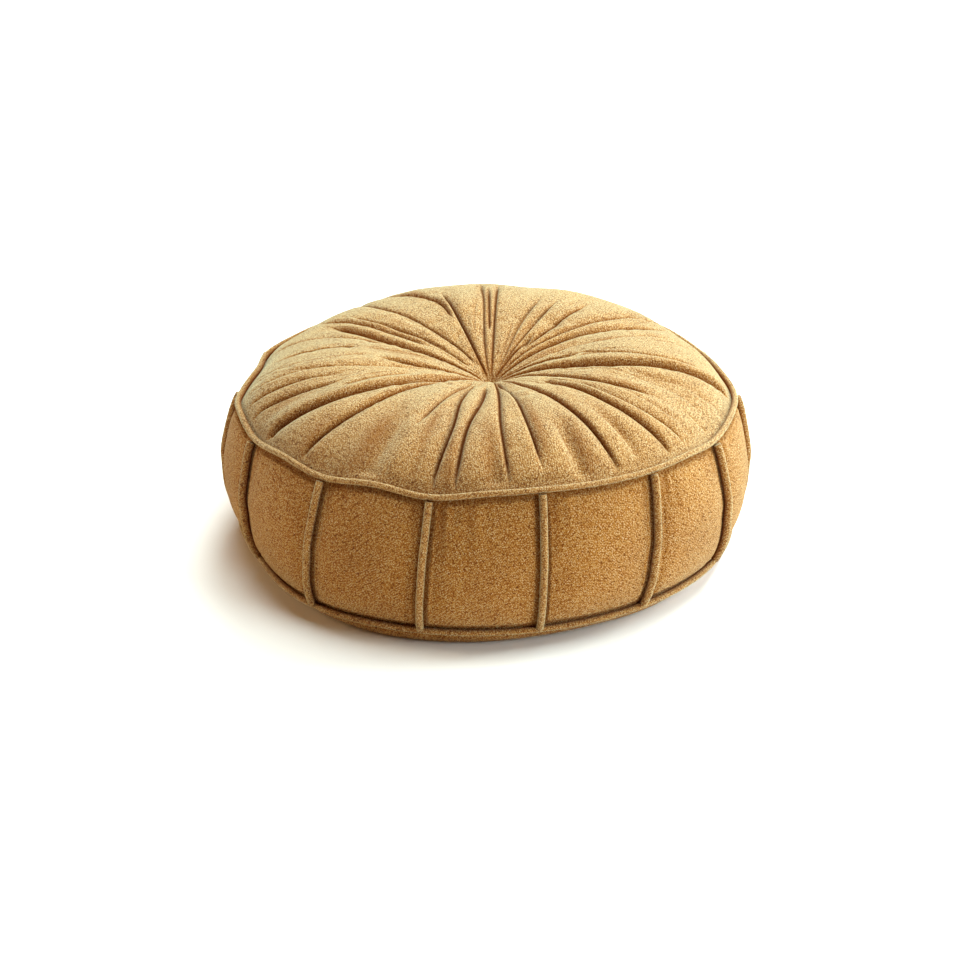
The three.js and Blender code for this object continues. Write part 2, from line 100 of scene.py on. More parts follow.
# %% One row a side seam
# Its azimuth at the rim, the rim's height there and halfway to the next seam, its azimuth at the foot seam
# and that seam's radius
SEAMS = [
    (-167, 170, 174, -168, 283), (-141, 169, 173, -143, 283), (-115.5, 170, 175, -117, 282),
    (-90, 173, 180, -91, 277), (-64, 171, 176, -66.5, 270), (-38, 171, 179, -40, 287),
    (-12, 173, 180, -14, 286), (12, 182, 180, 11.5, 281), (39, 178, 177, 37, 277),
    (62.5, 171, 174, 65, 276), (89, 172, 175, 89, 276), (115, 171, 175, 114.5, 277),
    (141, 170, 174, 140, 281), (167, 170, 174, 166, 283),
]
seam_top, seam_rim, seam_next, seam_foot, seam_radius = np.array(SEAMS, float).T
print(len(SEAMS), "side panels")

# %% [markdown]
# ## Smooth curves through the tables
# A table gives a value at a few places, and the cloth needs it everywhere. A cubic piece between each two
# rows, with its slope taken from the neighbours, passes through every row without a kink. A table that goes
# once round the cushion is repeated a turn before and a turn after, so its curve has no seam at the back.

# %% Curves and small helpers
def smooth_curve(places, values):
    places, values = np.array(places, float), np.array(values, float)
    last = len(places) - 1
    before, after = np.maximum(np.arange(last + 1) - 1, 0), np.minimum(np.arange(last + 1) + 1, last)
    slopes = (values[after] - values[before]) / (places[after] - places[before])

    def at(place):
        place = np.clip(place, places[0], places[-1])
        i = np.clip(np.searchsorted(places, place) - 1, 0, last - 1)
        step = places[i + 1] - places[i]
        s = (place - places[i]) / step
        bend = slopes[i] * s * (1 - s) ** 2 - slopes[i + 1] * s * s * (1 - s)
        return values[i] + (values[i + 1] - values[i]) * s * s * (3 - 2 * s) + bend * step

    return at


def curve_around(azimuths, values):
    azimuths, values = np.array(azimuths, float), np.array(values, float)
    return smooth_curve(np.concatenate([azimuths - 360, azimuths, azimuths + 360]), np.tile(values, 3))


def fade(x, low, high):
    s = np.clip((x - low) / (high - low), 0, 1)
    return s * s * (3 - 2 * s)


# Moves evenly spaced shares towards both ends, where a seam or a crease needs more points
def crowded(share, strength=0.5):
    return share - strength * np.sin(2 * np.pi * share) / (2 * np.pi)


def azimuth_between(start, end):
    return np.mod(end - start + 180, 360) - 180


def azimuth_of(points):
    return np.degrees(np.arctan2(points[..., 0], -points[..., 1]))


def polar(radius, azimuth, height):
    angle = np.radians(azimuth)
    east, north = radius * np.sin(angle), -radius * np.cos(angle)
    return np.stack(np.broadcast_arrays(east, north, height), axis=-1) * MM


print("azimuth of a point on the right:", azimuth_of(polar(RIM_RADIUS, np.array(90.0), 0)))

# %% A curve for each table
halfway = seam_top + azimuth_between(seam_top, np.roll(seam_top, -1)) / 2
rim_azimuths = np.stack([seam_top, halfway], 1).ravel()
rim_height = curve_around(rim_azimuths, np.stack([seam_rim, seam_next], 1).ravel())
foot_seam_radius = curve_around(seam_foot, seam_radius)
foot_edge_radius = curve_around(*zip(*FOOT_EDGE))
rim_drawn = curve_around(*zip(*RIM_DRAWN))
crown_profile = smooth_curve(*zip(*CROWN_PROFILE))
crown_fullness = curve_around(*zip(*CROWN_FULLNESS))
band_profile = smooth_curve(*zip(*BAND_PROFILE))
print("rim height at the front, in mm:", round(float(rim_height(0)), 1))

# %% [markdown]
# ## The pleats
# Cloth that is drawn together at one point falls into pleats: sharp creases with a rounded fold on each
# side. No two are alike, so each has a row of its own. A row says where the crease runs (its azimuth at five
# shares of the way out), between which shares it is pressed in, how deep it is, and how far the cloth takes
# to rise again before it and after it, counted in the direction of the azimuth. A noise or an array would
# give folds that are all of one kind, which is not how gathered cloth looks.

# %% The table of pleats
CREASE_SHARES = [0.1, 0.3, 0.5, 0.7, 0.95]
CREASES = [
    ([-158, -161, -162, -163, -168], 0.04, 0.6, 8, 9, 5),
    ([-150, -156, -158.5, -155, -148], 0.42, 0.85, 4, 5, 12),
    ([-146, -142.5, -141, -140, -144], 0.12, 0.9, 4, 6, 6),
    ([-127, -129, -128.5, -129, -131], 0.12, 0.7, 3, 6, 5),
    ([-119, -123.5, -124.5, -126, -127], 0.33, 0.85, 4, 6, 6),
    ([-106, -113, -117, -121, -124], 0.04, 0.72, 10, 6, 11),
    ([-100, -107, -111, -111.5, -108], 0.45, 0.92, 7, 8, 7),
    ([-90, -96, -99.5, -97, -93], 0.55, 0.8, 4, 5, 7),
    ([-68, -78, -86, -90, -87], 0.04, 0.4, 9, 6, 9),
    ([-62, -69, -73, -77, -80], 0.25, 0.94, 6, 14, 6),
    ([-56, -64, -68, -71, -74.5], 0.75, 0.94, 3, 5, 5),
    ([-52, -61, -63.5, -65, -70], 0.68, 0.94, 4, 5, 7),
    ([-48, -57, -59, -60, -64], 0.38, 0.64, 4, 6, 6),
    ([-40, -45, -49.5, -54, -60], 0.04, 0.96, 15, 8, 14),
    ([-34, -38, -40.5, -42.5, -46], 0.3, 0.96, 6, 5, 10),
    ([-16, -18, -19.5, -21, -23], 0.25, 0.7, 4, 7, 7),
    ([-12, -13, -12.5, -10.8, -12], 0.3, 0.95, 8, 10, 6),
    ([-2, -2.5, -3, -6, -7], 0.35, 0.95, 7, 6, 8),
    ([6, 5.5, 4.7, 4, 5], 0.1, 0.95, 6, 5, 11),
    ([9, 9.5, 12, 12.3, 13], 0.2, 0.9, 8, 5, 12),
    ([22, 25, 27.5, 29.5, 31], 0.1, 0.95, 6, 12, 5),
    ([36, 40, 42, 43.5, 46.5], 0.35, 0.96, 6, 10, 5),
    ([39, 43, 46.5, 48, 52.5], 0.45, 0.94, 6, 5, 14),
    ([53, 54, 54, 58, 62], 0.04, 0.71, 7, 9, 6),
    ([72, 74, 74, 79, 84.5], 0.04, 0.96, 14, 13, 8),
    ([86, 87, 85, 84.8, 88], 0.38, 0.8, 5, 6, 7),
    ([92, 91, 90, 90, 93], 0.06, 0.32, 7, 6, 5),
    ([102, 107, 104, 105.5, 107], 0.05, 0.78, 7, 6, 14),
    ([123, 122.5, 120, 117.5, 119], 0.04, 0.78, 6, 7, 6),
    ([134, 130, 128, 126.5, 125], 0.08, 0.85, 4, 6, 6),
    ([141, 138, 139.5, 140.7, 148], 0.22, 0.6, 5, 7, 5),
    ([145, 142.5, 144, 146, 152], 0.04, 0.26, 8, 6, 6),
    ([149, 149, 150, 151, 156], 0.1, 0.54, 4, 5, 5),
    ([154, 158, 157.5, 158, 161], 0.08, 0.52, 3, 5, 5),
    ([176, 176.3, 176.3, 176.3, 176], 0.04, 0.7, 5, 6, 5),
    ([180, 179.7, 179.5, 179.5, 179.5], 0.3, 0.62, 5, 5, 5),
    ([188, 184, 182, 182, 182], 0.04, 0.72, 4, 5, 6),
]
print(len(CREASES), "pleats, the deepest of", max(row[3] for row in CREASES), "mm")

# %% [markdown]
# ## Thin folds, dents and painted hollow shade
# Between the pleats the cloth has more to show. Thin folds are shallow pleats of one to two and a half
# millimetres. They are too fine for the solid, so they are here alone. Dents are soft hollows where two folds
# push the cloth down. The last table moves nothing: it is painted shade, a darker colour and less sheen on
# soft hollows that the cloth itself is not moved into. A row of the last two tables has an azimuth, a share,
# the half width across and along, and a depth or a strength.

# %% The tables of thin folds, dents and painted hollow shade
THIN_FOLDS = [
    ([-91, -90, -87, -84, -89], 0.5, 0.95, 1.6, 3, 2.5),
    ([-70, -72, -75, -78, -86], 0.62, 0.96, 1.4, 3, 2.5),
    ([-60, -64, -67, -70.5, -78], 0.62, 0.95, 1.3, 3, 2.5),
    ([-92, -100, -98, -96, -95], 0.28, 0.5, 1.5, 4, 3),
    ([-54, -82, -90, -94, -95], 0.18, 0.34, 2.5, 4, 3),
    ([-129, -130, -127, -124.5, -124], 0.22, 0.68, 1.6, 3, 3),
    ([-44, -48, -47.5, -50, -56], 0.2, 0.6, 1.6, 4, 3),
    ([-160, -168, -174, -175, -176], 0.28, 0.5, 1.0, 4, 3),
    ([127, 128.5, 126.3, 126, 133], 0.3, 0.9, 1.6, 3, 3),
    ([119, 120, 121, 120, 129], 0.3, 0.92, 1.4, 3, 3),
    ([155, 152, 148.5, 147, 147], 0.2, 0.46, 1.6, 3, 3),
    ([155, 159.5, 157.5, 156, 156], 0.16, 0.55, 1.2, 3, 3),
    ([160, 163, 164, 165, 165], 0.12, 0.32, 1.2, 3, 3),
    ([96, 94, 86, 84, 87], 0.38, 0.8, 2.2, 4, 3),
    ([100, 100, 99.5, 99.5, 102], 0.7, 0.88, 1.2, 3, 3),
    ([66, 68, 68.5, 70, 73], 0.62, 0.95, 1.3, 4, 4),
    ([60, 62, 67, 66.5, 67], 0.32, 0.93, 1.2, 4, 4),
    ([54, 55, 54.5, 54.2, 56.5], 0.55, 0.96, 1.4, 4, 4),
    ([-21, -26, -29, -31, -33], 0.12, 0.34, 1.2, 4, 4),
    ([-8, -9, -9, -9, -9], 0.08, 0.3, 1.2, 3, 3),
    ([16, 17, 18, 18, 19], 0.12, 0.36, 1.2, 3, 3),
    ([30, 34, 37, 39, 41], 0.1, 0.4, 1.3, 4, 3),
    ([-4, -4, -5, -15, -17], 0.8, 0.95, 1.4, 5, 4),
    ([18, 18, 19, 20, 22], 0.7, 0.96, 1.3, 5, 4),
    ([36, 36, 36, 36, 38], 0.7, 0.96, 1.2, 5, 4),
    ([-30, -30, -30, -30, -31], 0.75, 0.96, 1.4, 6, 5),
]
DENTS = [
    (-27, 0.88, 14, 36, 7), (2, 0.92, 10, 30, 5), (22, 0.86, 8, 38, 6), (37, 0.86, 6, 30, 3),
    (68, 0.72, 8, 24, 3), (90, 0.3, 4, 9, 4), (140, 0.41, 5, 8, 4), (142.5, 0.25, 5, 8, 4),
]
# Painted shade on soft hollows: each row darkens the colour and takes sheen away, and moves no cloth
PAINTED_HOLLOW_SHADE = [
    (-98, 0.37, 7, 40, 0.42), (-119, 0.58, 5, 22, 0.4), (-67, 0.86, 12, 20, 0.35), (-47, 0.9, 9, 26, 0.4),
    (-31, 0.82, 15, 46, 0.5), (114, 0.25, 5, 30, 0.4), (106, 0.5, 6, 30, 0.35), (59, 0.62, 6, 40, 0.42),
    (1, 0.86, 9, 44, 0.42), (15, 0.72, 6, 50, 0.45), (24, 0.88, 9, 40, 0.45), (-17, 0.74, 6, 44, 0.4),
    (-155, 0.72, 9, 26, 0.35), (33, 0.55, 9, 40, 0.2), (-133, 0.5, 5, 30, 0.25), (46, 0.86, 9, 30, 0.3),
    (-9, 0.9, 6, 40, 0.35), (38, 0.8, 5, 44, 0.35),
]
pleats = [(smooth_curve(CREASE_SHARES, row[0]), row) for row in CREASES + THIN_FOLDS]
crease_paths = [path for path, _ in pleats[:len(CREASES)]]
print(len(THIN_FOLDS), "thin folds,", len(DENTS), "dents,", len(PAINTED_HOLLOW_SHADE), "places of painted hollow shade")

# %% [markdown]
# ## How the cloth lies beside a crease
# Across a crease the cloth makes a valley that swells past the smooth surface before it settles. One side is
# steep and the other gentle, because a fold leans over. At the very bottom the cloth is pinched into a
# narrow line, which is what the eye reads as a sharp crease. Near the gather all of it gets narrower, because
# many pleats share little room.

# %% The shape across a crease
CREASE_NARROWS = 0.32
CREASE_STARTS = 0.03
CREASE_FADES = 0.06
SLOPE_STEP = 0.001
VALLEY_DEPTH = 0.7
VALLEY_REACH = 0.75
CREST_STEEP, CREST_GENTLE = 1.5, 1.0
PINCH_REACH = 1.5
PINCH_LEAST, PINCH_OF_DEPTH, PINCH_MOST = 1, 0.3, 0.8


def beside_crease(path, row, azimuth, share):
    _, begins, ends, _, before, after = row
    aside = azimuth_between(path(share), azimuth) * np.radians(RIM_RADIUS * share)
    steep = (aside < 0) == (before <= after)
    narrowing = np.minimum(1, (share + SLOPE_STEP) / CREASE_NARROWS)
    pressed = fade(share, begins - CREASE_STARTS, begins + CREASE_STARTS)
    pressed = pressed * (1 - fade(share, ends - CREASE_FADES, ends + CREASE_FADES))
    return aside, steep, narrowing, pressed


def crease_lift(row, aside, steep, narrowing):
    depth, before, after = row[3:]
    x = np.abs(aside) / (np.where(aside < 0, before, after) * VALLEY_REACH * narrowing)
    crest = np.where(steep, CREST_STEEP, CREST_GENTLE)
    valley = -depth * VALLEY_DEPTH * narrowing * (1 - crest * x) * np.exp(-x)
    pinch = -np.minimum(PINCH_MOST * depth, PINCH_OF_DEPTH * depth + PINCH_LEAST)
    return valley + pinch * np.exp(-np.abs(aside) / PINCH_REACH) * np.sqrt(narrowing)


def dent_lift(row, azimuth, share):
    middle, at_share, across, along, depth = row
    aside = azimuth_between(middle, azimuth) * np.radians(RIM_RADIUS * share)
    outward = (share - at_share) * RIM_RADIUS
    return -depth * np.exp(-((aside / across) ** 2) - (outward / along) ** 2)


reaches = [min(row[4:]) for row in CREASES]
print("steep sides rise within", min(reaches), "to", max(reaches), "mm")

# %% How dark a crease is painted
# Painted shade: the sharp dark mark at the bottom is as wide as the pinch, and a soft painted shade reaches
# over the gentle side
MARK_REACH, MARK_WIDENS = 1.4, 0.12
MARK_START, MARK_SPAN = 2, 9
SHADE_REACH = 5
SHADE_OF_DEPTH, SHADE_MOST = 0.04, 0.45
SHADE_ON_STEEP_SIDE = 0.4


def painted_crease_shade(depth, aside, steep, narrowing):
    core = MARK_REACH + MARK_WIDENS * depth
    sharp = np.exp(-((aside / core) ** 2)) * np.minimum(1, (depth + MARK_START) / MARK_SPAN)
    shade = np.exp(-np.abs(aside) / SHADE_REACH) * np.minimum(SHADE_MOST, SHADE_OF_DEPTH * depth)
    shade = shade * np.where(steep, SHADE_ON_STEEP_SIDE, 1)
    return np.maximum(sharp, shade * narrowing)


print("a crease 5 mm deep is marked by", round(min(1, (5 + MARK_START) / MARK_SPAN), 2))

# %% [markdown]
# ## The crown's surface
# The crown is a low ring-shaped swell with a dip at the gather. Each pleat is raised or sunk along the
# swell's own normal rather than straight up, because on the steep outer part a vertical move would only
# shift the cloth sideways. The pleats run out just before the rim, where the cloth is held flat in the seam.
# Each point also gets a mark of painted shade, from 0 to 1, that darkens the colour the deeper in a crease
# it lies.

# %% A point of the pleated crown
CREASES_END = 0.965


def crown_height(azimuth, share):
    rim = RIM_HEIGHT + (rim_height(azimuth) - RIM_HEIGHT) * share * share
    return rim + crown_profile(share) * (1 + (crown_fullness(azimuth) - 1) * np.minimum(1, 2 * share))


def crown_points(azimuth, share):
    slope = crown_height(azimuth, share + SLOPE_STEP) - crown_height(azimuth, share - SLOPE_STEP)
    slope = slope / (2 * SLOPE_STEP * RIM_RADIUS)
    lifts, painted_crease_shades = [], []
    for path, row in pleats:
        aside, steep, narrowing, pressed = beside_crease(path, row, azimuth, share)
        lifts.append(crease_lift(row, aside, steep, narrowing) * pressed)
        painted_crease_shades.append(painted_crease_shade(row[3], aside, steep, narrowing) * pressed)
    free = 1 - fade(share, CREASES_END, CROWN_EDGE)
    hollow_shade = sum(-dent_lift(row, azimuth, share) for row in PAINTED_HOLLOW_SHADE)
    # Painted shade: the darker of the crease marks and the painted hollows, faded out at the rim
    painted_shades = np.clip(np.maximum(np.max(painted_crease_shades, axis=0), hollow_shade) * free, 0, 1)
    dents = sum(dent_lift(row, azimuth, share) for row in DENTS)
    dip = GATHER_DIP * np.exp(-((share * RIM_RADIUS / GATHER_RADIUS) ** 2))
    lift = ((sum(lifts) + dents) * free - dip) / np.hypot(1, slope)
    leaning = slope * lift * np.minimum(1, share / CREASE_NARROWS)
    radius = RIM_RADIUS * share - rim_drawn(azimuth) * share ** 3 - leaning
    points = polar(radius, azimuth, crown_height(azimuth, share) + lift)
    points[..., 0] += GATHER_OFFSET * (1 - share) * MM
    return points, painted_shades


gather = crown_points(np.array(0.0), np.array(0.0))[0]
print("the gather lies at, in mm:", (gather / MM).round(1).tolist())

# %% [markdown]
# ## The band's surface
# Each side panel is its own little cushion: it stands proud of the seams round it and rolls down into them
# within a few millimetres. That channel beside each seam is what the eye reads as padding. Under the rim the
# longer cloth of the band is taken up in small puckers, most of them near a side seam. A row of their table
# has an azimuth, a depth (less than 0 is a ridge), a half width and a length down from the rim.

# %% The puckers under the rim
PUCKER_STARTS = 5
PUCKERS = [
    (-9.3, 3.5, 4.5, 30), (-6.2, -1.9, 3.6, 34), (-3.4, 2.9, 4.2, 26), (0.6, 1.6, 4.2, 18),
    (14.5, 2.6, 3.9, 20), (17.5, -1.3, 3.6, 22), (-35, 2.6, 4.2, 22), (-31.5, 1.6, 4.2, 18),
    (-15.5, 1.9, 3.6, 18), (36, 2.2, 4.2, 20), (42, 2.9, 4.2, 24), (45, -1.3, 3.6, 22), (59, 1.9, 4.2, 18),
    (66, 2.6, 4.2, 22), (-61, 2.4, 4.2, 22), (-67, 1.9, 4.2, 18), (-87, 2.4, 4.2, 20), (-112, 2.2, 4.2, 20),
    (92, 2.4, 4.2, 20), (112, 2.1, 4.2, 18), (118, 2.4, 4.2, 22), (138, 1.9, 4.2, 18), (145, 2.6, 4.2, 22),
    (170, 2.4, 4.2, 20), (-163, 2.2, 4.2, 20), (-138, 2.4, 4.2, 22), (-145, 1.8, 4.2, 16),
]


def pucker_lift(azimuth, radius, below_rim):
    lift = 0
    for at, depth, width, length in PUCKERS:
        aside = azimuth_between(at, azimuth) * np.radians(radius)
        faded = 1 - np.exp(-below_rim / PUCKER_STARTS)
        lift = lift - depth * np.exp(-((aside / width) ** 2) - below_rim / length) * faded
    return lift


print(len(PUCKERS), "puckers")

# %% A point of a padded side panel
PANEL_PILLOW = 4
PILLOW_ROLL = 5
PANEL_BELLY = 2
# Painted shade in the channel beside each seam and each rim: how far it reaches and how dark it is
CHANNEL_SHADE_REACH = 1.8
CHANNEL_SHADE = 0.45
# Painted shade down each sunken pucker, and the most it may darken
PUCKER_SHADE, PUCKER_SHADE_MOST = 0.25, 0.55


def band_radius(azimuth, share):
    widening = (foot_seam_radius(azimuth) - FOOT_SEAM_RADIUS) * (1 - share)
    return band_profile(share) + widening - rim_drawn(azimuth) * share ** 3


def band_height(azimuth, share):
    return FOOT_SEAM_HEIGHT + (rim_height(azimuth) - FOOT_SEAM_HEIGHT) * share


def panel_points(panel, across, share):
    panel, across, share = np.broadcast_arrays(panel, across, share)
    left = seam_foot[panel] + (seam_top - seam_foot)[panel] * share
    right = (panel + 1) % len(SEAMS)
    width = np.mod(seam_foot[right] + (seam_top - seam_foot)[right] * share - left, 360)
    strip = np.degrees(SEAM_STRIP / band_radius(left, share))
    azimuth = left + strip + (width - 2 * strip) * across
    radius = band_radius(azimuth, share)
    to_seam = np.minimum(across, 1 - across) * np.radians(width - 2 * strip) * radius
    to_rim = (np.minimum(share, 1 - share) - BAND_EDGE) * BAND_TALL
    pillow = PANEL_PILLOW * (1 - np.exp(-to_seam / PILLOW_ROLL)) * (1 - np.exp(-to_rim / PILLOW_ROLL))
    belly = PANEL_BELLY * np.sin(np.pi * across) * np.sin(np.pi * share)
    puckers = pucker_lift(azimuth, radius, (1 - BAND_EDGE - share) * BAND_TALL)
    # Painted shade: darker in the channels by the seams and rims and down the sunken puckers
    painted_channel_shade = CHANNEL_SHADE * np.exp(-((np.minimum(to_seam, to_rim) / CHANNEL_SHADE_REACH) ** 2))
    painted_shades = np.maximum(painted_channel_shade, np.clip(-PUCKER_SHADE * puckers, 0, PUCKER_SHADE_MOST))
    return polar(radius + pillow + belly + puckers, azimuth, band_height(azimuth, share)), painted_shades


# %% A point of the rounded edge of the base
def bulge_points(azimuth, turn):
    edge = foot_edge_radius(azimuth)
    radius = edge + (foot_seam_radius(azimuth) - edge) * np.cos(turn * np.pi / 2)
    return polar(radius, azimuth, (FOOT_SEAM_HEIGHT - RIM_STRIP) * (1 - np.sin(turn * np.pi / 2)))


print("the base is flat out to", round(float(foot_edge_radius(0))), "mm at the front")

# %% [markdown]
# ## One closed cloth
# The cover is sewn from many pieces, but a filled cushion is best made as one closed skin, so nothing gapes
# at a seam. Its mesh is a grid that runs round the cushion. On the crown every crease has a column of the
# grid to itself, so it stays sharp; on the band the columns are shared out between the side panels. The two
# kinds of column meet on the narrow strip that the rim's welt covers.

# %% Share out the grid's columns between the creases
COLUMNS = 728
LEAST_COLUMNS = 4
SHARED_OUT_AT = 0.7
CREASE_CROWDING = 0.8

shared_out = np.array([path(SHARED_OUT_AT) for path in crease_paths])
widths = np.mod(np.roll(shared_out, -1) - shared_out, 360)
counts = np.full(len(CREASES), LEAST_COLUMNS)
for _ in range(COLUMNS - counts.sum()):
    counts[np.argmax(widths / counts)] += 1
column_space = np.repeat(np.arange(len(CREASES)), counts)
column_part = np.concatenate([crowded(np.arange(count) / count, CREASE_CROWDING) for count in counts])


def crown_azimuths(share):
    here = np.stack([path(share) for path in crease_paths], axis=-1)
    step = np.mod(np.roll(here, -1, axis=-1) - here, 360)
    return here[..., column_space] + step[..., column_space] * column_part


print("columns from one crease to the next:", counts.tolist())

# %% Share out the same columns between the side panels
edge_azimuth = crown_azimuths(np.array(CROWN_EDGE))
column_panel = np.argmin(np.mod(edge_azimuth[:, None] - seam_top, 360), axis=1)
column_across = np.zeros(COLUMNS)
for panel in range(len(SEAMS)):
    members = np.flatnonzero(column_panel == panel)
    members = members[np.argsort(azimuth_between(seam_top[panel], edge_azimuth[members]))]
    column_across[members] = crowded(np.arange(len(members)) / (len(members) - 1))
print("columns on each side panel:", np.bincount(column_panel).tolist())

# %% The rows of points, from the base over the band to the gather
BULGE_ROWS = 8
BAND_ROWS = 46
CROWN_ROWS = 104
FIRST_CROWN_ROW = BULGE_ROWS + BAND_ROWS

crown_shares = CROWN_EDGE * (1 - crowded(np.linspace(0, 1, CROWN_ROWS + 1))[:-1])
band_shares = BAND_EDGE + (1 - 2 * BAND_EDGE) * crowded(np.linspace(0, 1, BAND_ROWS))
foot_azimuth = azimuth_of(panel_points(column_panel, column_across, BAND_EDGE)[0])
bulge_rows = bulge_points(foot_azimuth[None, :], np.linspace(1, 0, BULGE_ROWS)[:, None])
panel_rows, panel_painted_shade = panel_points(column_panel[None, :], column_across[None, :], band_shares[:, None])
crown_rows, crown_painted_shade = crown_points(crown_azimuths(crown_shares), crown_shares[:, None])
cover_rows = np.concatenate([bulge_rows, panel_rows, crown_rows])
cover_painted_shade = np.concatenate([np.zeros(bulge_rows.shape[:2]), panel_painted_shade, crown_painted_shade])
print("rows of the cover:", len(cover_rows))


# %% Turn a grid of points into a closed mesh
def closed_skin(name, rows, first, last):
    count, columns = rows.shape[:2]
    points = np.concatenate([rows.reshape(-1, 3), [first, last]])
    grid = np.arange(count * columns).reshape(count, columns)
    beside = np.roll(grid, -1, axis=1)
    quads = np.stack([grid[:-1], beside[:-1], beside[1:], grid[1:]], axis=-1).reshape(-1, 4).tolist()
    first_fan = [[len(points) - 2, b, a] for a, b in zip(grid[0], beside[0])]
    last_fan = [[len(points) - 1, a, b] for a, b in zip(grid[-1], beside[-1])]
    mesh = bpy.data.meshes.new(name)
    mesh.from_pydata(points.tolist(), [], quads + first_fan + last_fan)
    mesh.shade_smooth()
    skin = bpy.data.objects.new(name, mesh)
    bpy.context.scene.collection.objects.link(skin)
    return skin


# %% [markdown]
# ## The filling presses the cloth out
# A real cover is cut a little larger than its filling, so between the stitched lines the cloth swells and
# buckles. A cloth simulation finds that shape. It runs on a coarse copy of the grid, because folds of a few
# centimetres need no finer one. The cloth starts a little inside its final place, it is held along every
# seam and crease, and its springs are a few hundredths longer than the mesh is. Pressure from within does
# the rest. The cloth is light and the pressure high, because so many points are held: with less, it would
# hardly move.

# %% How firmly each point is held
HELD_BESIDE = 2
HELD_IN_FULL_AT = 0.35
HELD_AT_FOOT, HELD_AT_RIM, HELD_AT_GATHER = 4, 3, 8


def held_share():
    shifts = range(-HELD_BESIDE, HELD_BESIDE + 1)
    wide = np.max([np.roll(cover_painted_shade, shift, axis=1) for shift in shifts], axis=0)
    held = np.clip(wide / HELD_IN_FULL_AT, 0, 1)
    held[:BULGE_ROWS + HELD_AT_FOOT] = 1
    held[FIRST_CROWN_ROW - HELD_AT_RIM:FIRST_CROWN_ROW + HELD_AT_RIM] = 1
    held[-HELD_AT_GATHER:] = 1
    return held


held = held_share()
print("points held in full:", f"{(held == 1).mean():.0%}")

# %% The cloth and how it runs
PRESSURE = 60
CLOTH_MASS = 0.01
CLOTH_FULLNESS = 0.018
STRETCH_STIFFNESS, SHEAR_STIFFNESS, BENDING_STIFFNESS = 8, 3, 0.2
LAST_FRAME = 20


def cloth_settings(body):
    cloth = body.modifiers.new("cloth", "CLOTH")
    cloth.collision_settings.use_collision = False
    springs = cloth.settings
    springs.quality = 3
    springs.mass = CLOTH_MASS
    springs.tension_stiffness = springs.compression_stiffness = STRETCH_STIFFNESS
    springs.shear_stiffness = SHEAR_STIFFNESS
    springs.bending_stiffness = BENDING_STIFFNESS
    springs.shrink_min = -CLOTH_FULLNESS
    springs.use_pressure = True
    springs.uniform_pressure_force = PRESSURE
    springs.effector_weights.gravity = 0
    springs.vertex_group_mass = "sewn"


def simulated(start, held):
    body = closed_skin("swelling_cloth", start, [0, 0, 0], gather)
    group = body.vertex_groups.new(name="sewn")
    weights = np.round(np.append(held.ravel(), [1, 1]), 1)
    for weight in np.unique(weights[weights > 0]):
        group.add(np.flatnonzero(weights == weight).tolist(), float(weight), "REPLACE")
    cloth_settings(body)
    for frame_number in range(1, LAST_FRAME + 1):
        bpy.context.scene.frame_set(frame_number)
    evaluated = body.evaluated_get(bpy.context.evaluated_depsgraph_get())
    points = np.empty(len(body.data.vertices) * 3, np.float32)
    evaluated.data.vertices.foreach_get("co", points)
    bpy.context.scene.frame_set(1)
    mesh = body.data
    bpy.data.objects.remove(body)
    bpy.data.meshes.remove(mesh)
    return points.astype(float).reshape(-1, 3)[:-2].reshape(start.shape)


print("the cloth runs for", LAST_FRAME, "frames")

# %% [markdown]
# ## Carry the swelling back to the fine grid
# How far each point of the coarse grid moved is capped, so no panel can balloon, and then spread over the
# fine grid. Where a crease or a seam is marked, the fine cloth keeps its measured place. The grid has the
# same order in both, so the result needs no search for the nearest point.

# %% Spread a coarse move over the fine grid
TINY = 1e-9


def outward(rows):
    along = np.roll(rows, -1, axis=1) - np.roll(rows, 1, axis=1)
    normal = np.cross(along, np.gradient(rows, axis=0))
    return normal / np.maximum(np.linalg.norm(normal, axis=-1, keepdims=True), TINY * MM)


def spread_move(move, picked_rows, picked_columns):
    count, columns = cover_rows.shape[:2]
    around = np.append(picked_columns, columns)
    closed = np.concatenate([move, move[:, :1]], axis=1)
    every = np.arange(columns)
    wide = [[np.interp(every, around, row) for row in closed[..., axis]] for axis in range(3)]
    wide = np.stack(wide, axis=-1)
    place = np.interp(np.arange(count), picked_rows, np.arange(len(picked_rows)))
    below = np.minimum(place.astype(int), len(picked_rows) - 2)
    part = (place - below)[:, None, None]
    return wide[below] * (1 - part) + wide[below + 1] * part


# %% Swell the cloth between its sewn lines
ROW_STEP, COLUMN_STEP = 2, 4
BAND_INSET, BAND_MOVE = 2.5 * MM, 5 * MM
CROWN_INSET, CROWN_MOVE = 0.5 * MM, 1.6 * MM

inset = np.full(len(cover_rows), BAND_INSET)
inset[FIRST_CROWN_ROW:] = CROWN_INSET
started = cover_rows - outward(cover_rows) * (1 - held)[..., None] * inset[:, None, None]
picked_rows = np.unique(np.append(np.arange(0, len(cover_rows), ROW_STEP), len(cover_rows) - 1))
picked_columns = np.arange(0, COLUMNS, COLUMN_STEP)
picked = np.ix_(picked_rows, picked_columns)
move = simulated(started[picked], held[picked]) - started[picked]
length = np.linalg.norm(move, axis=-1, keepdims=True)
most = np.where(picked_rows < FIRST_CROWN_ROW, BAND_MOVE, CROWN_MOVE)[:, None, None]
move = move * most * np.tanh(length / most) / np.maximum(length, TINY)
unmarked = (1 - np.clip(2 * cover_painted_shade, 0, 1))[..., None]
swollen = started - cover_rows + spread_move(move, picked_rows, picked_columns)
cover_rows = cover_rows + swollen * unmarked
lifted = (swollen * unmarked * outward(cover_rows)).sum(axis=-1) / MM
print("swollen by, in mm:", np.percentile(lifted, [5, 50, 95]).round(1).tolist(), "at 5, 50 and 95 %")

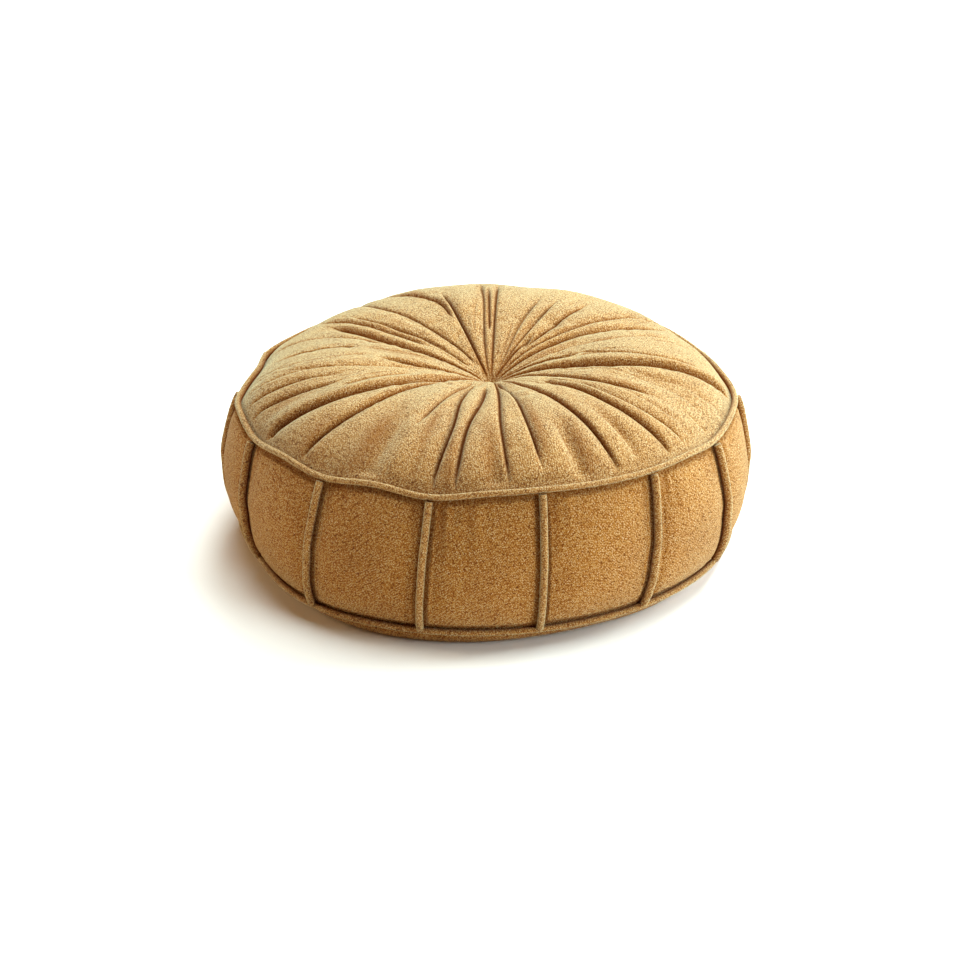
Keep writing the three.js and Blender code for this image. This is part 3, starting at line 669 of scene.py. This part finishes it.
# %% The cover as one closed mesh
# Painted shade in the sheen: the band and base get less sheen than the crown, so the band that lies in shade
# stays a deeper brown, and painted shade in a crease takes the sheen away
SHEEN_AT_BASE, SHEEN_ON_BAND, SHEEN_ON_CROWN = 0.3, 0.42, 1
SHEEN_LOST_TO_SHADE = 1.4

row_sheen = np.repeat([SHEEN_AT_BASE, SHEEN_ON_BAND, SHEEN_ON_CROWN], [BULGE_ROWS, BAND_ROWS, CROWN_ROWS])
cover_sheen = row_sheen[:, None] * np.clip(1 - SHEEN_LOST_TO_SHADE * cover_painted_shade, 0, 1)
cover = closed_skin("teddy_cover", cover_rows, [0, 0, 0], gather)
for name, values, ends in (("painted_shade", cover_painted_shade, [0, 1]), ("sheen_share", cover_sheen, [SHEEN_AT_BASE, 0])):
    attribute = cover.data.attributes.new(name, "FLOAT", "POINT")
    attribute.data.foreach_set("value", np.append(values.ravel(), ends).astype(np.float32))
print("cover:", len(cover.data.vertices), "points,", len(cover.data.polygons), "faces")

# %% [markdown]
# ## Teddy cloth
# Teddy cloth is a knitted ground with a short curly pile. From a step away it is a fine grain: the tips of
# the curls are pale, the gaps between them are deep and warm. It could be made of real hairs, but at this
# distance they would only add weight. Here cells of just under two millimetres, pushed about by noise, give
# the curls, and the same pattern drives the colour, the bump and the sheen, so that light and dark belong
# together. The cells start from a lattice. If one of its planes lay in the crown or the band, it would show
# as rings, so the whole lattice is turned to stand on a corner.

# %% A helper for nodes
def add(tree, kind, values=None, **settings):
    node = tree.nodes.new(kind)
    for key, value in settings.items():
        setattr(node, key, value)
    for socket, value in (values or {}).items():
        node.inputs[socket].default_value = value
    return node


# %% The pattern of the curls, from 0 in the gaps to 1 on the tips
CURL_SIZE = 1.85 * MM
ON_ITS_CORNER = {"Axis": (-1, 1, 0), "Angle": math.radians(54.74)}


def curl_pattern(tree, place):
    link = tree.links.new
    push = add(tree, "ShaderNodeTexNoise", {"Scale": 0.35 / CURL_SIZE, "Detail": 2})
    pushed = add(tree, "ShaderNodeMixRGB", {"Fac": CURL_SIZE * 0.5}, blend_type="LINEAR_LIGHT")
    link(place, push.inputs["Vector"])
    link(place, pushed.inputs["Color1"])
    link(push.outputs["Color"], pushed.inputs["Color2"])
    turned = add(tree, "ShaderNodeVectorRotate", ON_ITS_CORNER, rotation_type="AXIS_ANGLE")
    link(pushed.outputs["Color"], turned.inputs["Vector"])
    cells = {"Scale": 1 / CURL_SIZE, "Smoothness": 0.2, "Randomness": 0.62}
    curls = add(tree, "ShaderNodeTexVoronoi", cells, feature="SMOOTH_F1")
    link(turned.outputs["Vector"], curls.inputs["Vector"])

    grain = add(tree, "ShaderNodeTexNoise", {"Scale": 2.4 / CURL_SIZE, "Detail": 0})
    link(place, grain.inputs["Vector"])
    height = add(tree, "ShaderNodeMath", operation="SUBTRACT")
    link(grain.outputs["Fac"], height.inputs[0])
    link(curls.outputs["Distance"], height.inputs[1])
    spread = add(tree, "ShaderNodeMapRange", {"From Min": -0.45, "From Max": 0.5})
    link(height.outputs["Value"], spread.inputs["Value"])
    return spread.outputs["Result"]


print("curls, in mm:", CURL_SIZE / MM)

# %% [markdown]
# ## Colour and sheen of the pile
# The colour runs over four tones, from the brown gaps to the pale tips. Broad soft patches keep it from
# looking printed. Painted shade darkens it where a crease, a seam's channel, a pucker, a hollow or the foot
# of a welt is marked, since the bottom of a fold sees little light. The raised tips scatter light towards the
# eye, which is what sheen does. The crown gets more sheen than the band, so it looks paler and cooler and the
# band in its shade stays a deeper brown; painted shade takes the sheen away. A simple diffuse cloth would
# have one flat tone on both.

# %% The colour of the cloth
CLOTH_TONES = [(0.0, (0.06, 0.01, 0.0005)), (0.34, (0.24, 0.066, 0.003)), (0.66, (0.42, 0.178, 0.032)),
               (1.0, (0.58, 0.40, 0.20))]
# Painted shade: the dark tone that marked creases, channels, puckers, hollows and welt feet are mixed towards
PAINTED_SHADE_TONE = (0.13, 0.028, 0.0015)
PATCHES_SHOW = 0.3
PAINTED_SHADE_SHOWS = 0.88


def pile_colour(tree, place, pattern):
    link = tree.links.new
    colours = add(tree, "ShaderNodeValToRGB")
    ramp = colours.color_ramp
    for i, (at, tone) in enumerate(CLOTH_TONES):
        element = ramp.elements[i] if i < 2 else ramp.elements.new(at)
        element.position = at
        element.color = (*tone, 1)
    link(pattern, colours.inputs["Fac"])
    patches = add(tree, "ShaderNodeTexNoise", {"Scale": 14, "Detail": 3})
    link(place, patches.inputs["Vector"])
    worn = add(tree, "ShaderNodeMixRGB", {"Fac": PATCHES_SHOW}, blend_type="SOFT_LIGHT")
    link(colours.outputs["Color"], worn.inputs["Color1"])
    link(patches.outputs["Fac"], worn.inputs["Color2"])
    # Painted shade, mixed in by the mark that the cover and the welts carry
    painted_shade = add(tree, "ShaderNodeAttribute", attribute_name="painted_shade")
    deep = add(tree, "ShaderNodeMath", {1: PAINTED_SHADE_SHOWS}, operation="MULTIPLY")
    link(painted_shade.outputs["Fac"], deep.inputs[0])
    shade = add(tree, "ShaderNodeMixRGB", {"Color2": (*PAINTED_SHADE_TONE, 1)})
    link(deep.outputs["Value"], shade.inputs["Fac"])
    link(worn.outputs["Color"], shade.inputs["Color1"])
    return shade.outputs["Color"]


print("tones of the pile:", len(CLOTH_TONES))

# %% The sheen of the raised pile
SHEEN = 0.48
SHEEN_TINT = (0.70, 0.93, 0.6, 1)


def pile_sheen(tree, pattern):
    link = tree.links.new
    # The sheen share carries painted shade: less on the band and base, none where shade is painted
    sheen_share = add(tree, "ShaderNodeAttribute", attribute_name="sheen_share")
    tips = add(tree, "ShaderNodeMapRange", {"To Min": 0.35, "To Max": 1.65})
    link(pattern, tips.inputs["Value"])
    sheen_out_of_shade = add(tree, "ShaderNodeMath", operation="MULTIPLY")
    link(sheen_share.outputs["Fac"], sheen_out_of_shade.inputs[0])
    link(tips.outputs["Result"], sheen_out_of_shade.inputs[1])
    glow = add(tree, "ShaderNodeMath", {1: SHEEN}, operation="MULTIPLY")
    link(sheen_out_of_shade.outputs["Value"], glow.inputs[0])
    return glow.outputs["Value"]


# %% Put the cloth's material together
def teddy_material(name):
    material = bpy.data.materials.new(name)
    material.use_nodes = True
    tree = material.node_tree
    link = tree.links.new
    shader = tree.nodes["Principled BSDF"]
    place = add(tree, "ShaderNodeTexCoord").outputs["Object"]
    pattern = curl_pattern(tree, place)
    link(pile_colour(tree, place, pattern), shader.inputs["Base Color"])
    link(pile_sheen(tree, pattern), shader.inputs["Sheen Weight"])
    bump = add(tree, "ShaderNodeBump", {"Strength": 0.55, "Distance": 0.8 * MM})
    link(pattern, bump.inputs["Height"])
    link(bump.outputs["Normal"], shader.inputs["Normal"])
    shader.inputs["Roughness"].default_value = 0.95
    shader.inputs["Specular IOR Level"].default_value = 0.06
    shader.inputs["Sheen Roughness"].default_value = 0.6
    shader.inputs["Sheen Tint"].default_value = SHEEN_TINT
    return material


cover_pile = teddy_material("cover_pile")
welt_pile = teddy_material("welt_pile")
cover.data.materials.append(cover_pile)
print("material of the cover:", len(cover_pile.node_tree.nodes), "nodes")

# %% [markdown]
# ## The welts
# A welt here is a folded strip of the same cloth that stands up over a seam like a low fin. It follows a
# path, so Geometry Nodes make it: a line of points along the seam carries the direction that the welt stands
# in, the line becomes a curve, and an oval is drawn along it. A little noise keeps the edge from looking
# machined. All sixteen come from one tree, each from its own line.

# %% A line along a seam, with the way the welt stands
def seam_line(name, low, high, closed):
    middle = (low + high) / 2
    side = high - low
    side /= np.linalg.norm(side, axis=1, keepdims=True)
    if closed:
        along = np.roll(middle, -1, axis=0) - np.roll(middle, 1, axis=0)
    else:
        along = np.gradient(middle, axis=0)
    upright = np.cross(along, side)
    upright /= np.linalg.norm(upright, axis=1, keepdims=True)
    upright *= np.sign(np.sum(upright * middle * [1, 1, 0], axis=1, keepdims=True))
    edges = [(i, i + 1) for i in range(len(middle) - 1)] + ([(len(middle) - 1, 0)] if closed else [])
    mesh = bpy.data.meshes.new(name)
    mesh.from_pydata(middle.tolist(), edges, [])
    stands = mesh.attributes.new("stands", "FLOAT_VECTOR", "POINT")
    stands.data.foreach_set("vector", upright.astype(np.float32).ravel())
    line = bpy.data.objects.new(name, mesh)
    bpy.context.scene.collection.objects.link(line)
    return line


# %% The lines of all sixteen welts
# A side welt runs a little past both edges of the band, up to the welts of the two rims
SIDE_WELT_POINTS = 72
WELT_REACHES = 1.3

rim_band_edge = panel_points(column_panel, column_across, 1 - BAND_EDGE)[0]
rim_crown_edge = crown_points(azimuth_of(rim_band_edge), np.full(COLUMNS, CROWN_EDGE))[0]
foot_band_edge = panel_points(column_panel, column_across, BAND_EDGE)[0]
lines = {
    "top_rim_welt": seam_line("top_rim_seam", rim_band_edge, rim_crown_edge, True),
    "bottom_rim_welt": seam_line("bottom_rim_seam", bulge_points(foot_azimuth, 0), foot_band_edge, True),
}
welt_end = BAND_EDGE - WELT_REACHES / BAND_TALL
seam_shares = np.linspace(welt_end, 1 - welt_end, SIDE_WELT_POINTS)
for k in range(len(SEAMS)):
    beside_left = panel_points((k - 1) % len(SEAMS), 1, seam_shares)[0]
    beside_right = panel_points(k, 0, seam_shares)[0]
    lines[f"side_welt_{k + 1:02d}"] = seam_line(f"side_seam_{k + 1:02d}", beside_left, beside_right, False)
print(len(lines), "seam lines")

# %% The section of a welt: an oval that stands on the seam
# Its foot gets painted shade, as dark as a crease, and only its top keeps the sheen
OVAL_POINTS = 14
FOOT_UP_TO, TOP_FROM = 2.2 * MM, 6.5 * MM


def stored(tree, name, geometry, value):
    store = add(tree, "GeometryNodeStoreNamedAttribute", {"Name": name}, data_type="FLOAT", domain="POINT")
    tree.links.new(geometry, store.inputs["Geometry"])
    tree.links.new(value, store.inputs["Value"])
    return store.outputs["Geometry"]


def welt_section(tree, given):
    link = tree.links.new
    half_height = add(tree, "ShaderNodeMath", {1: 0.5}, operation="MULTIPLY")
    link(given["Height"], half_height.inputs[0])
    rise = add(tree, "ShaderNodeMath", operation="ADD")
    link(half_height.outputs["Value"], rise.inputs[0])
    link(given["Gap"], rise.inputs[1])
    size = add(tree, "ShaderNodeCombineXYZ")
    link(half_height.outputs["Value"], size.inputs["X"])
    link(given["Half width"], size.inputs["Y"])
    lift = add(tree, "ShaderNodeCombineXYZ")
    link(rise.outputs["Value"], lift.inputs["X"])
    circle = add(tree, "GeometryNodeCurvePrimitiveCircle", {"Resolution": OVAL_POINTS, "Radius": 1})
    oval = add(tree, "GeometryNodeTransform")
    link(circle.outputs["Curve"], oval.inputs["Geometry"])
    link(size.outputs["Vector"], oval.inputs["Scale"])
    link(lift.outputs["Vector"], oval.inputs["Translation"])

    # Painted shade at the welt's foot: full below FOOT_UP_TO, gone by TOP_FROM, and the sheen takes the rest
    above_seam = add(tree, "ShaderNodeSeparateXYZ")
    link(add(tree, "GeometryNodeInputPosition").outputs["Position"], above_seam.inputs["Vector"])
    fading = {"From Min": FOOT_UP_TO, "From Max": TOP_FROM, "To Min": 1, "To Max": 0}
    shaded = add(tree, "ShaderNodeMapRange", fading)
    link(above_seam.outputs["X"], shaded.inputs["Value"])
    sheen_out_of_shade = add(tree, "ShaderNodeMath", {0: 1}, operation="SUBTRACT")
    link(shaded.outputs["Result"], sheen_out_of_shade.inputs[1])
    marked = stored(tree, "painted_shade", oval.outputs["Geometry"], shaded.outputs["Result"])
    return stored(tree, "sheen_share", marked, sheen_out_of_shade.outputs["Value"])


# %% The unevenness of a welt
BUMPS_PER_METRE = 260


def fluffed(tree, mesh, amount):
    link = tree.links.new
    noise = add(tree, "ShaderNodeTexNoise", {"Scale": BUMPS_PER_METRE, "Detail": 2})
    either_way = add(tree, "ShaderNodeMath", {1: 0.5}, operation="SUBTRACT")
    link(noise.outputs["Fac"], either_way.inputs[0])
    scaled = add(tree, "ShaderNodeMath", operation="MULTIPLY")
    link(either_way.outputs["Value"], scaled.inputs[0])
    link(amount, scaled.inputs[1])
    push = add(tree, "ShaderNodeVectorMath", operation="SCALE")
    link(add(tree, "GeometryNodeInputNormal").outputs["Normal"], push.inputs["Vector"])
    link(scaled.outputs["Value"], push.inputs["Scale"])
    moved = add(tree, "GeometryNodeSetPosition")
    link(mesh, moved.inputs["Geometry"])
    link(push.outputs["Vector"], moved.inputs["Offset"])
    return moved.outputs["Geometry"]


# %% The node tree that draws a welt along its line
SIDE_WELT = {"Half width": 4.2 * MM, "Height": 9.5 * MM}
RIM_WELT = {"Half width": 3.4 * MM, "Height": 7.5 * MM}
WELT_INPUTS = {"Half width": 4 * MM, "Height": 6 * MM, "Gap": 0.45 * MM, "Fluff": 0.6 * MM}


def welt_tree():
    tree = bpy.data.node_groups.new("welt_along_seam", "GeometryNodeTree")
    tree.is_modifier = True
    link = tree.links.new
    tree.interface.new_socket("Seam", in_out="INPUT", socket_type="NodeSocketGeometry")
    for name, value in WELT_INPUTS.items():
        tree.interface.new_socket(name, in_out="INPUT", socket_type="NodeSocketFloat").default_value = value
    tree.interface.new_socket("Cloth", in_out="INPUT", socket_type="NodeSocketMaterial")
    tree.interface.new_socket("Welt", in_out="OUTPUT", socket_type="NodeSocketGeometry")
    given = add(tree, "NodeGroupInput").outputs

    curve = add(tree, "GeometryNodeMeshToCurve")
    link(given["Seam"], curve.inputs["Mesh"])
    stands = add(tree, "GeometryNodeInputNamedAttribute", {"Name": "stands"}, data_type="FLOAT_VECTOR")
    upright = add(tree, "GeometryNodeSetCurveNormal", mode="FREE")
    link(curve.outputs["Curve"], upright.inputs["Curve"])
    link(stands.outputs["Attribute"], upright.inputs["Normal"])
    drawn = add(tree, "GeometryNodeCurveToMesh", {"Fill Caps": True})
    link(upright.outputs["Curve"], drawn.inputs["Curve"])
    link(welt_section(tree, given), drawn.inputs["Profile Curve"])
    real = add(tree, "GeometryNodeRealizeInstances")
    link(fluffed(tree, drawn.outputs["Mesh"], given["Fluff"]), real.inputs["Geometry"])
    clothed = add(tree, "GeometryNodeSetMaterial")
    link(real.outputs["Geometry"], clothed.inputs["Geometry"])
    link(given["Cloth"], clothed.inputs["Material"])
    link(clothed.outputs["Geometry"], add(tree, "NodeGroupOutput").inputs["Welt"])
    return tree


# %% Run a tree on an object and keep the result as a plain mesh
def run_tree(base, tree, name, values):
    modifier = base.modifiers.new(name, "NODES")
    modifier.node_group = tree
    for item in tree.interface.items_tree:
        if item.in_out == "INPUT" and item.name in values:
            modifier[item.identifier] = values[item.name]
    evaluated = base.evaluated_get(bpy.context.evaluated_depsgraph_get())
    mesh = bpy.data.meshes.new_from_object(evaluated)
    mesh.name = name
    mesh.shade_smooth()
    made = bpy.data.objects.new(name, mesh)
    bpy.context.scene.collection.objects.link(made)
    return made


# %% Draw the sixteen welts
welt_nodes = welt_tree()
welts = []
for node, line in lines.items():
    sizes = SIDE_WELT if node.startswith("side") else RIM_WELT
    welt = run_tree(line, welt_nodes, f"{node}_cloth", {**sizes, "Cloth": welt_pile})
    bpy.data.objects.remove(line)
    welts.append((node, welt))
print(len(welts), "welts,", sum(len(w.data.polygons) for _, w in welts), "faces")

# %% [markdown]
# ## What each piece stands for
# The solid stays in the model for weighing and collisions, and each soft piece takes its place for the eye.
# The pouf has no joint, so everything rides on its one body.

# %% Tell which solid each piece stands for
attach(cover, "root")
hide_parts("filled_cover")
for node, welt in welts:
    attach(welt, "root")
    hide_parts(node)
print("pieces that stand for a solid:", 1 + len(welts))

# %% [markdown]
# ## Floor, light and camera
# The pouf stands on a plain pale floor. Wide soft lamps of a cool white stand above, behind and on the
# right, so the crown and the right side are bright and the near band lies in its own shade, as in the
# photograph. One small warm lamp keeps the left edge from going dark. The air round it is dim and warm, like
# a room with cream walls, and it turns the shaded cloth a deeper brown. The camera looks down at 25.5
# degrees from about three and a half metres, through a long lens.

# %% The floor
bpy.ops.mesh.primitive_plane_add(size=24, location=(0, 0, 0))
floor = bpy.context.object
floor.name = "pale_floor"
floor_material = bpy.data.materials.new("pale_floor")
floor_material.use_nodes = True
floor_shader = floor_material.node_tree.nodes["Principled BSDF"]
floor_shader.inputs["Base Color"].default_value = (0.95, 0.86, 0.74, 1)
floor_shader.inputs["Roughness"].default_value = 0.9
floor_shader.inputs["Specular IOR Level"].default_value = 0.1
floor.data.materials.append(floor_material)
print("the floor is", round(floor.dimensions.x), "m wide")

# %% The lamps
# A row a lamp: its name, place, size in metres, power in watts and colour
COOL_WHITE = (0.81, 1.0, 1.13)
WARM_WHITE = (1.0, 0.78, 0.48)
LAMPS = [
    ("overhead", (0.3, 0.4, 2.8), 2.4, 122, COOL_WHITE),
    ("window", (1.6, 1.5, 2.3), 0.8, 74, COOL_WHITE),
    ("back", (0.2, 2.4, 2.2), 1.4, 66, COOL_WHITE),
    ("right", (2.5, 0.5, 1.2), 1.2, 82, COOL_WHITE),
    ("right_front", (2.2, -1.6, 1.2), 1.2, 48, COOL_WHITE),
    ("left", (-2.5, 0.3, 0.9), 1.2, 24, WARM_WHITE),
]
MIDDLE_OF_POUF = (0, 0, 0.12)


def turned_along(thing, direction):
    thing.rotation_mode = "QUATERNION"
    thing.rotation_quaternion = Vector(direction).to_track_quat("-Z", "Y")


for name, place, size, power, colour in LAMPS:
    light = bpy.data.lights.new(name, "AREA")
    light.shape = "SQUARE"
    light.size = size
    light.energy = power
    light.color = colour
    lamp = bpy.data.objects.new(name, light)
    bpy.context.scene.collection.objects.link(lamp)
    lamp.location = place
    turned_along(lamp, np.subtract(MIDDLE_OF_POUF, place))
print(len(LAMPS), "lamps,", sum(row[3] for row in LAMPS), "W in all")

# %% The light of the room
ROOM_COLOUR = (1, 0.55, 0.25, 1)
ROOM_BRIGHTNESS = 0.11

room = bpy.data.worlds.new("warm_room")
bpy.context.scene.world = room
room.use_nodes = True
background = room.node_tree.nodes["Background"]
background.inputs["Color"].default_value = ROOM_COLOUR
background.inputs["Strength"].default_value = ROOM_BRIGHTNESS
print("brightness of the room:", ROOM_BRIGHTNESS)

# %% The camera
ELEVATION = math.radians(25.5)
DISTANCE = 3.443
LENS = 112.5
LOOKED_AT = Vector((-0.0063, 0, 0.064))

camera_data = bpy.data.cameras.new("camera")
camera_data.lens = LENS
camera_data.sensor_width = 36
camera = bpy.data.objects.new("camera", camera_data)
bpy.context.scene.collection.objects.link(camera)
backwards = Vector((0, -math.cos(ELEVATION), math.sin(ELEVATION)))
camera.location = LOOKED_AT + backwards * DISTANCE
turned_along(camera, -backwards)
bpy.context.scene.camera = camera
bpy.context.scene.view_settings.view_transform = "Standard"
print("the camera stands at, in m:", [round(x, 3) for x in camera.location])
